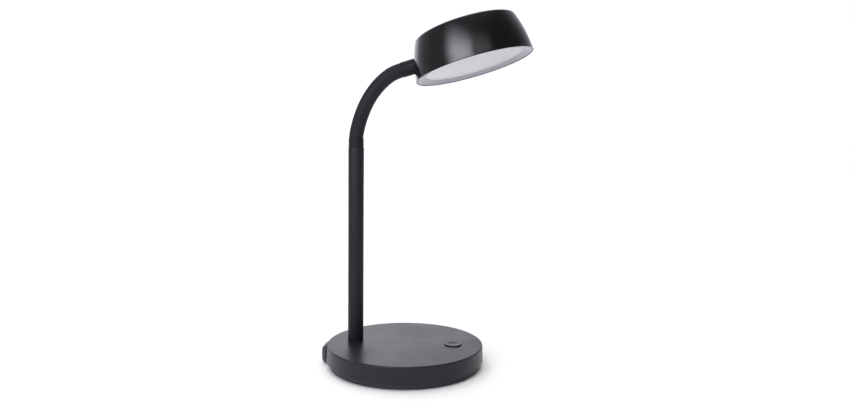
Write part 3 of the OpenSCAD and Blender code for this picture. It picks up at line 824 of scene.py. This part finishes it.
class LAMP_OT_pole(bpy.types.Operator):
    """Steel pole and the ferrule that carries the neck"""

    bl_idname = "lamp.pole"
    bl_label = "Pole"

    def execute(self, context):
        sizes, colours = context.scene.lamp_neck, context.scene.lamp_finishes
        at = Matrix.Translation((pole_x, 0, 0))
        r, inner = sizes.pole_radius, sizes.pole_radius - sizes.pole_wall
        foot, head = pole_low.z, pole_high.z
        tube_line = softened([(inner, foot), (r, foot), (r, head), (inner, head)], 0.25 * mm, 4)
        paint = spark_grain("pole_paint", colours.pole, 0.55, 2800.0, 0.2, gloss=0.28)
        tube = place(lathe("pole", tube_line, 128, paint), at)
        window = block("lead_window", (pole_x, -2.5 * mm, 10.75 * mm),
                       (pole_x + 16 * mm, 2.5 * mm, 15.75 * mm), Matrix.Identity(4))
        combine(tube, [window], "DIFFERENCE")
        finished(tube, "base", "pole_paint", "pole_tube")

        ferrule_low, ferrule_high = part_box("lower_ferrule")
        fr, top = sizes.ferrule_radius, ferrule_high.z
        plug = inner - 0.05 * mm
        seat = sizes.hose_radius + 0.05 * mm
        line = [
            (3 * mm, ferrule_low.z), (plug, ferrule_low.z), (plug, head - 0.02 * mm),
            (fr - 0.3 * mm, head - 0.02 * mm), (fr, head + 0.3 * mm),
            (fr, top - 0.35 * mm), (fr - 0.35 * mm, top),
            (seat, top), (seat, head), (3 * mm, head)]
        ferrule = lathe("ferrule", softened(line, 0.15 * mm, 2), 128,
                        spark_grain("ferrule_paint", colours.pole, 0.5, 2800.0, 0.15, gloss=0.18))
        place(ferrule, at)
        finished(ferrule, "base", "ferrule_paint", "lower_ferrule")
        return {"FINISHED"}


class LAMP_OT_neck(bpy.types.Operator):
    """Wound steel hose and rubber sleeve, curved through each bending point of the neck"""

    bl_idname = "lamp.neck"
    bl_label = "Gooseneck"

    def execute(self, context):
        sizes, colours = context.scene.lamp_neck, context.scene.lamp_finishes
        rubber = soft_rubber("sleeve_rubber", colours.sleeve, 0.6, 0.18)
        steel = turned_metal("hose_steel", (0.42, 0.42, 0.43), 0.32)
        tree = hose_tree()
        bodies = ["base"] + [f"neck_{k}" for k in range(1, 8)] + ["head"]
        foot = Vector((bend_points[0].x, 0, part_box("lower_ferrule")[1].z))
        end = link_place(8) @ Vector((0, 0, sizes.tail))
        middles = [foot] + [(a + b) / 2 for a, b in zip(bend_points, bend_points[1:])] + [end]
        ball_length = sizes.sleeve_radius * math.sin(math.radians(21))
        # how far the hose runs past its bend: to its seats, and short of the balls elsewhere
        runs = {1: (sizes.ferrule_length, 0.0), 2: (0.0, 4.4 * mm), 8: (0.8 * mm, 5 * mm)}

        def sleeve(name, line, ball=0.0, hollow=0.0):
            piece = tree.grow(name, {
                **line, "Run in": 0.0, "Run out": ball * ball_length, "Ball end": ball,
                "Hollow end": hollow, "Radius": sizes.sleeve_radius, "Wall": sizes.sleeve_wall,
                "Ridge": 0.0, "Pitch": 1.0, "Rings": 24, "Sides": 72, "Finish": rubber})
            smooth(piece)
            return piece

        def hose(name, line, run_in=0.0, run_out=0.0):
            start, corner, stop = line.values()
            whole = (corner - start).length + (stop - corner).length + run_in + run_out
            turns = round(whole / sizes.hose_pitch)
            piece = tree.grow(name, {
                **line, "Run in": run_in, "Run out": run_out, "Ball end": 0.0, "Hollow end": 0.0,
                "Radius": sizes.hose_radius, "Wall": sizes.hose_strip, "Ridge": sizes.hose_ridge,
                "Pitch": whole / turns, "Rings": turns * 8, "Sides": 40, "Finish": steel})
            smooth(piece, 50)
            return piece

        for k in range(1, 9):
            start, corner, stop = middles[k - 1], bend_points[k - 1], middles[k]
            if k in (3, 5, 7):
                # the neck nods here on a ball in a hollow, so each half keeps its shape
                half = (start + 2 * corner + stop) / 4
                low = {"Start": start, "Corner": (start + corner) / 2, "End": half}
                high = {"Start": half, "Corner": (corner + stop) / 2, "End": stop}
                finished(sleeve(f"neck_sleeve_{k}_low", low, ball=1.0),
                         bodies[k - 1], "sleeve_rubber", f"sleeve_{k - 1}")
                finished(sleeve(f"neck_sleeve_{k}_high", high, hollow=1.0),
                         bodies[k], "sleeve_rubber", f"sleeve_{k}")
                continue
            line = {"Start": start, "Corner": corner, "End": stop}
            run_in, run_out = runs.get(k, (0.8 * mm, 4.4 * mm))
            for piece, slot, nodes in (
                    (sleeve(f"neck_sleeve_{k}", line), "sleeve_rubber",
                     ["sleeve_0", "sleeve_1"] if k == 1 else [f"sleeve_{k}"]),
                    (hose(f"neck_hose_{k}", line, run_in, run_out), "hose_steel",
                     [f"hose_{k}"] if k == 2 else [f"hose_{k - 1}", f"hose_{k}"])):
                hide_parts(*nodes)
                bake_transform(piece)
        return {"FINISHED"}


def head_outline():
    """Closed outline of the head's shell, from the lip over the shoulder and back inside."""
    head = bpy.context.scene.lamp_head
    flank = head.height - head.shoulder
    lean = 21.2
    seam = flank + head.shoulder * math.sin(math.radians(lean))
    shoulder = (head_wall(seam) - head.shoulder * math.cos(math.radians(lean)), flank)
    steps = 40
    walls = [(head_wall(seam * i / steps), seam * i / steps) for i in range(steps + 1)]
    crown = [
        (shoulder[0] * (1 - s), head.height + 0.4 * mm * (1 - (1 - s) ** 2))
        for s in (0.15, 0.35, 0.6, 0.85, 1)]
    outer = [(walls[0][0] - 0.25 * mm, 0)] + [(walls[0][0], 0.25 * mm)] + walls[1:]
    outer += arc(shoulder, head.shoulder, lean + 3, 88, 12) + crown
    inner_radius = head.shoulder - head.wall
    inner = [(r, z - head.wall) for r, z in crown[::-1]]
    inner += arc(shoulder, inner_radius, 88, lean, 6)
    rebate = (head.radius - 1.2 * mm, 2 * mm)
    inner += [
        (head_wall(z) - head.wall, z)
        for z in (rebate[1] + (flank - rebate[1]) * i / 14 for i in range(14, -1, -1))]
    inner += [rebate, (rebate[0], 0.15 * mm), (rebate[0] + 0.15 * mm, 0)]
    return outer + inner


class LAMP_OT_head(bpy.types.Operator):
    """Glossy round head with its white ring, opal diffuser and collar"""

    bl_idname = "lamp.head"
    bl_label = "Head"

    def execute(self, context):
        head, neck = context.scene.lamp_head, context.scene.lamp_neck
        colours = context.scene.lamp_finishes
        at = head_place()
        gloss = gloss_lacquer("head_gloss", colours.head, 0.17)
        shell = lathe("head", head_outline(), 320, gloss)
        thread = 5 * mm
        hole = rod("arm_hole", thread + 0.15 * mm, 0, 20 * mm, Vector(), 64)
        place(hole, Matrix.Translation((-head.radius, 0, head.arm_height))
              @ Matrix.Rotation(math.pi / 2, 4, "Y"))
        posts = four_posts("boss", 3 * mm, 27.5 * mm, 38 * mm, HEAD_POSTS_MM)
        combine(shell, posts, "UNION")
        combine(shell, [hole], "DIFFERENCE")
        finished(place(shell, at), "head", "head_gloss", "head_shell")

        rebate = head.radius - 1.2 * mm
        ring_r, lit = rebate - 0.15 * mm, head.diffuser_radius
        depth, shelf, ring_top = head.diffuser_depth, head.diffuser_radius + 2.5 * mm, 6.2 * mm
        face = 0.5 * mm
        rim, curve = ring_r - 0.8 * mm, depth - 0.1 * mm - face
        line = [
            (ring_r, face), (ring_r, 1.8 * mm),
            (head_wall(2 * mm) - head.wall - 0.4 * mm, 1.8 * mm),
            (head_wall(ring_top) - head.wall - 0.4 * mm, ring_top), (shelf, ring_top),
            (shelf, depth + 0.1 * mm), (lit, depth + 0.1 * mm)]
        line += [
            (lit + (rim - lit) * share, face + curve * (1 - share ** 2))
            for share in (i / 16 for i in range(17))]
        white = Finish("ring_white", colours.ring, 0.4, gloss=0.35)
        white.bump(white.noise(1500.0, 2.0), 0.1, 0.02 * mm)
        white.vary_roughness(white.noise(26.0, 4.0), 0.03)
        # painted shade: the ring's colour darkens to 0.76 of itself towards its far side (+Y),
        # standing in for the shade there
        white.mix_colour(white.rise_along("Y", -0.01, 0.045), shade(colours.ring, 0.76))
        ring = lathe("ring", line, 256, white.material)
        finished(place(ring, at), "head", "ring_white", "reflector_ring")

        low, high = depth + 0.15 * mm, depth + 2.15 * mm
        edge = lit + 2.3 * mm
        disc_line = softened([(0, low), (edge, low), (edge, high), (0, high)], 0.3 * mm)
        disc = lathe("diffuser", disc_line, 192, opal_plastic("diffuser_opal", colours.diffuser))
        # the CAD node's name is taken by the frame
        disc.name = "opal_disc"
        finished(place(disc, at), "head", "diffuser_opal", "diffuser")
        self.collar(head, neck, colours)
        return {"FINISHED"}

    def collar(self, head, neck, colours):
        """Collar with a rounded front edge, its end shaped to the head's round wall."""
        r, long = neck.collar_radius, neck.collar_length
        seat = neck.hose_radius + 0.05 * mm
        line = [
            (seat, 0), (r - 0.35 * mm, 0), (r, 0.35 * mm), (r, long + 4 * mm),
            (2.1 * mm, long + 4 * mm), (2.1 * mm, 5 * mm), (seat, 5 * mm)]
        paint = spark_grain("collar_paint", colours.pole, 0.5, 2800.0, 0.15, gloss=0.16)
        collar = lathe("collar", softened(line, 0.15 * mm, 2), 128, paint)
        front = link_place(8) @ Matrix.Translation((0, 0, neck.tail))
        place(collar, front)
        steps = 24
        flank = head.height - head.shoulder
        wall = [(head_wall(flank * i / steps), flank * i / steps) for i in range(steps + 1)]
        solid = lathe("head_solid", [(0, 0)] + wall + [(0, flank)], 320, None)
        combine(collar, [place(solid, head_place())], "DIFFERENCE")
        stub = rod("stub", 5 * mm, long - 2 * mm, long + 9 * mm, Vector(), 64)
        place(stub, front)
        combine(collar, [stub], "UNION")
        bore = rod("lead_bore", 2.1 * mm, 4 * mm, long + 10 * mm, Vector(), 32)
        place(bore, front)
        combine(collar, [bore], "DIFFERENCE")
        finished(collar, "head", "collar_paint", "upper_collar")


class LAMP_OT_fasteners(bpy.types.Operator):
    """Rings of screws and LED chips"""

    bl_idname = "lamp.fasteners"
    bl_label = "Screws and LED chips"

    def execute(self, context):
        zinc = turned_metal("zinc_screw", (0.62, 0.62, 0.64), 0.28)
        tree = ring_tree()
        head = head_place()
        for node, body, length, count, radius, first, at in (
                ("base_screw", "base", 10, 4, BASE_POSTS_MM, 45,
                 Matrix.Translation((0, 0, 1 * mm))),
                ("socket_screw", "base", 4.5, 3, 13.3, 60,
                 Matrix.Translation((pole_x, 0, 1 * mm))),
                ("head_screw", "head", 8, 4, HEAD_POSTS_MM, 45,
                 head @ Matrix.Translation((0, 0, 24.8 * mm)))):
            pattern = self.screw(length * mm)
            screws = grow_ring(
                tree, f"{node}_set", pattern, zinc, count, radius * mm, math.radians(first))
            drop(pattern)
            finished(place(screws, at), body, "zinc_screw", f"{node}s")

        phosphor = Finish("led_yellow", (0.75, 0.6, 0.16), 0.35)
        phosphor.vary_colour(phosphor.noise(900.0), (0.8, 0.68, 0.28))
        chip = self.chip()
        level = 26 * mm - 1.2 * mm - 0.8 * mm
        outer = grow_ring(tree, "outer_chips", chip, phosphor.material, 24, 36.05 * mm, 0, level)
        inner = grow_ring(tree, "inner_chips", chip, phosphor.material, 12, 22.05 * mm, 0, level)
        drop(chip)
        for piece in (outer, inner):
            finished(place(piece, head), "head", "led_yellow", "led_chips")
        return {"FINISHED"}

    def screw(self, length):
        """Pan-head screw with a cross recess, its head down."""
        line = [
            (0, 0), (2.2 * mm, 0), (2.62 * mm, 0.18 * mm), (2.8 * mm, 0.55 * mm),
            (2.8 * mm, 1.2 * mm), (1.2 * mm, 1.2 * mm), (1.2 * mm, length - 0.8 * mm),
            (0.5 * mm, length), (0, length)]
        screw = lathe("screw", line, 24, None)
        arms = [
            block(f"cross_{i}", (-1.3 * mm, -0.25 * mm, -1 * mm), (1.3 * mm, 0.25 * mm, 0.7 * mm),
                  Matrix.Rotation(math.pi / 2 * i, 4, "Z")) for i in (0, 1)]
        return combine(screw, arms, "DIFFERENCE")

    def chip(self):
        """LED chip: a small block with a shallow domed lens, its light side down."""
        bm = bmesh.new()
        levels = ((1.4, 1.75, 0.8), (1.4, 1.75, 0.25), (1.15, 1.5, 0.08), (0.7, 0.95, 0.0))
        sections = [
            [bm.verts.new((x * half_x * mm, y * half_y * mm, z * mm))
             for x, y in ((1, 1), (-1, 1), (-1, -1), (1, -1))]
            for half_x, half_y, z in levels]
        bridge(bm, sections)
        bm.faces.new(sections[0])
        bm.faces.new(sections[-1])
        return to_object(bm, "chip", None)


class LAMP_OT_inner_parts(bpy.types.Operator):
    """Finishes for the parts of the frame that keep their own shape"""

    bl_idname = "lamp.inner_parts"
    bl_label = "Inner parts"

    def execute(self, context):
        steel = turned_metal("socket_steel", (0.5, 0.5, 0.51), 0.35)
        white = soft_rubber("lead_white", (0.62, 0.62, 0.6), 0.5)
        zinc = bpy.data.materials["zinc_screw"]
        finishes = {
            "base_plate": spark_grain("plate_plastic", (0.022, 0.021, 0.025), 0.45),
            "ballast_disc": turned_metal("ballast_steel", (0.3, 0.3, 0.31), 0.5),
            "pole_socket": steel,
            "control_board": printed_board("board_green", (0.02, 0.13, 0.05)),
            "tact_switch": spark_grain("switch_plastic", (0.04, 0.04, 0.045), 0.4),
            "driver_parts": spark_grain("driver_mix", (0.09, 0.06, 0.05), 0.45),
            "board_screws": zinc,
            "pole_lead": white,
            "button_plunger": spark_grain("plunger_plastic", (0.55, 0.55, 0.52), 0.4),
            "arm_nut": turned_metal("nut_steel", (0.55, 0.55, 0.56), 0.3),
            "heat_plate": turned_metal("heat_aluminium", (0.66, 0.67, 0.69), 0.38, (12, 1, 1)),
            "led_board": printed_board("board_white", (0.7, 0.7, 0.67)),
            **{f"lead_{k}": white for k in range(1, 9)}}
        for node, material in finishes.items():
            for slot in frame["nodes"][node].material_slots:
                slot.material = material
        return {"FINISHED"}


class LAMP_OT_stage(bpy.types.Operator):
    """Plain floor, soft studio light and the camera"""

    bl_idname = "lamp.stage"
    bl_label = "Studio"

    def execute(self, context):
        self.floor()
        self.world(context.scene)
        self.lights()
        self.camera(context.scene)
        context.scene.view_settings.view_transform = "Standard"
        context.scene.view_settings.look = "None"
        context.scene.view_settings.exposure = 0
        context.scene.view_settings.gamma = 1
        return {"FINISHED"}

    def floor(self):
        bm = bmesh.new()
        bmesh.ops.create_grid(bm, x_segments=1, y_segments=1, size=6)
        paper = Finish("studio_paper", PAPER_NEAR, 0.9)
        away = paper.add("ShaderNodeVectorMath", {0: paper.place}, operation="LENGTH")
        far = add_rise(paper.tree, away.outputs["Value"], 0.25, 1.1)
        paper.mix_colour(far, PAPER_FAR)
        sheet = to_object(bm, "floor", paper.material)
        place(sheet, Matrix.Translation((0, 0, -0.02 * mm)))
        if sheet.data.polygons[0].normal.z < 0:
            sheet.data.flip_normals()

    def world(self, scene):
        """White behind the lamp and overhead, darker to the right and in front, white when seen."""
        world = bpy.data.worlds.new("studio")
        world.use_nodes = True
        scene.world = world
        tree = world.node_tree
        spot = add_node(tree, "ShaderNodeTexCoord").outputs["Generated"]
        parts = add_node(tree, "ShaderNodeSeparateXYZ", {0: spot}).outputs
        turn = add_math(tree, "ARCTAN2", parts["X"], parts["Y"])
        share = add_math(tree, "MULTIPLY_ADD", turn, 0.5 / math.pi, 0.5)
        ramp = add_node(tree, "ShaderNodeValToRGB", {"Fac": share})
        ramp.color_ramp.interpolation = "EASE"
        stops = ramp.color_ramp.elements
        brightest = max(level for angle, level in AROUND)
        while len(stops) < len(AROUND):
            stops.new(0.5)
        for stop, (angle, level) in zip(stops, AROUND):
            stop.position = (angle + 180) / 360
            stop.color = (*[level / brightest] * 3, 1)
        low = add_math(tree, "MULTIPLY", ramp.outputs["Color"], brightest)
        rise = add_rise(tree, parts["Z"], OVERHEAD_FROM, OVERHEAD_FULL)
        high = add_math(tree, "MULTIPLY_ADD", rise, OVERHEAD, low)
        seen = add_node(tree, "ShaderNodeLightPath").outputs["Is Camera Ray"]
        level = add_node(
            tree, "ShaderNodeMix", {0: seen, 2: high, 3: SEEN_WHITE}, data_type="FLOAT")
        sky = tree.nodes["Background"].inputs
        sky["Color"].default_value = (*STUDIO_TINT, 1)
        tree.links.new(level.outputs[0], sky["Strength"])

    def lights(self):
        target = Vector(LIT_POINT)
        for name, turn, rise, away, wide, high, radiance, fades in SOFTBOXES:
            a, e = math.radians(turn), math.radians(rise)
            way = Vector((math.sin(a) * math.cos(e), -math.cos(a) * math.cos(e), math.sin(e)))
            self.softbox(name, target + way * away, target, wide, high, radiance, fades)
        lamp = bpy.data.lights.new("ceiling", "SUN")
        lamp.energy = CEILING_LIGHT
        lamp.angle = math.radians(CEILING_SPREAD)
        ceiling = bpy.data.objects.new("ceiling", lamp)
        ceiling.location = (0, 0, 2)
        ceiling.visible_camera = False
        ceiling.visible_glossy = False
        bpy.context.scene.collection.objects.link(ceiling)

    def softbox(self, name, at, target, wide, high, radiance, fades):
        """Area light of the given brightness, which fades towards its edges."""
        lamp = bpy.data.lights.new(name, "AREA")
        lamp.shape = "RECTANGLE"
        lamp.size, lamp.size_y = wide, high
        lamp.energy = radiance * math.pi * wide * high
        lamp.color = STUDIO_TINT
        lamp.use_nodes = True
        tree = lamp.node_tree
        place_on_it = add_node(tree, "ShaderNodeNewGeometry").outputs["Parametric"]
        parts = add_node(tree, "ShaderNodeSeparateXYZ", {0: place_on_it}).outputs
        level = None
        left, right, bottom, top = fades
        for axis, start, end in (
                ("X", 0, left), ("X", 1, 1 - right), ("Y", 0.08, bottom), ("Y", 1, 1 - top)):
            fade = add_rise(tree, parts[axis], start, end)
            level = fade if level is None else add_math(tree, "MULTIPLY", level, fade)
        tree.links.new(level, tree.nodes["Emission"].inputs["Strength"])
        box = bpy.data.objects.new(name, lamp)
        box.location = at
        box.rotation_euler = (target - at).to_track_quat("-Z", "Y").to_euler()
        box.visible_camera = False
        bpy.context.scene.collection.objects.link(box)

    def camera(self, scene):
        data = bpy.data.cameras.new("camera")
        data.sensor_fit = "HORIZONTAL"
        data.sensor_width = 36
        data.lens = CAMERA_LENS
        data.clip_start = 0.01
        camera = bpy.data.objects.new("camera", data)
        forward = Vector(CAMERA_WAY).normalized()
        side = forward.cross(Vector((0, 0, 1))).normalized()
        up = side.cross(forward)
        right = (side * math.cos(CAMERA_ROLL) + up * math.sin(CAMERA_ROLL)).normalized()
        up = right.cross(forward)
        turn = Matrix((right, up, -forward)).transposed().to_4x4()
        camera.matrix_world = Matrix.Translation(CAMERA_AT) @ turn
        scene.collection.objects.link(camera)
        scene.camera = camera


class LAMP_PT_panel(bpy.types.Panel):
    """Lamp pieces and their sizes"""

    bl_idname = "LAMP_PT_panel"
    bl_label = "Gooseneck lamp"
    bl_space_type = "VIEW_3D"
    bl_region_type = "UI"
    bl_category = "Lamp"

    def draw(self, context):
        for operator in operators:
            self.layout.operator(operator.bl_idname)
        for key in groups:
            values = getattr(context.scene, key)
            box = self.layout.box()
            for prop in values.bl_rna.properties:
                if prop.identifier not in ("rna_type", "name"):
                    box.prop(values, prop.identifier)


operators = (
    LAMP_OT_stage, LAMP_OT_base, LAMP_OT_button, LAMP_OT_pole, LAMP_OT_neck,
    LAMP_OT_head, LAMP_OT_fasteners, LAMP_OT_inner_parts)
groups = {
    "lamp_base": LampBaseSizes, "lamp_neck": LampNeckSizes,
    "lamp_head": LampHeadSizes, "lamp_finishes": LampFinishes}


def register():
    for group in groups.values():
        bpy.utils.register_class(group)
    for key, group in groups.items():
        setattr(bpy.types.Scene, key, bpy.props.PointerProperty(type=group))
    for operator in operators:
        bpy.utils.register_class(operator)
    bpy.utils.register_class(LAMP_PT_panel)


def unregister():
    bpy.utils.unregister_class(LAMP_PT_panel)
    for operator in reversed(operators):
        bpy.utils.unregister_class(operator)
    for key, group in groups.items():
        delattr(bpy.types.Scene, key)
        bpy.utils.unregister_class(group)


def main():
    register()
    for operator in operators:
        section, name = operator.bl_idname.split(".")
        getattr(getattr(bpy.ops, section), name)()
    bpy.context.view_layer.update()


if __name__ == "__main__":
    main()
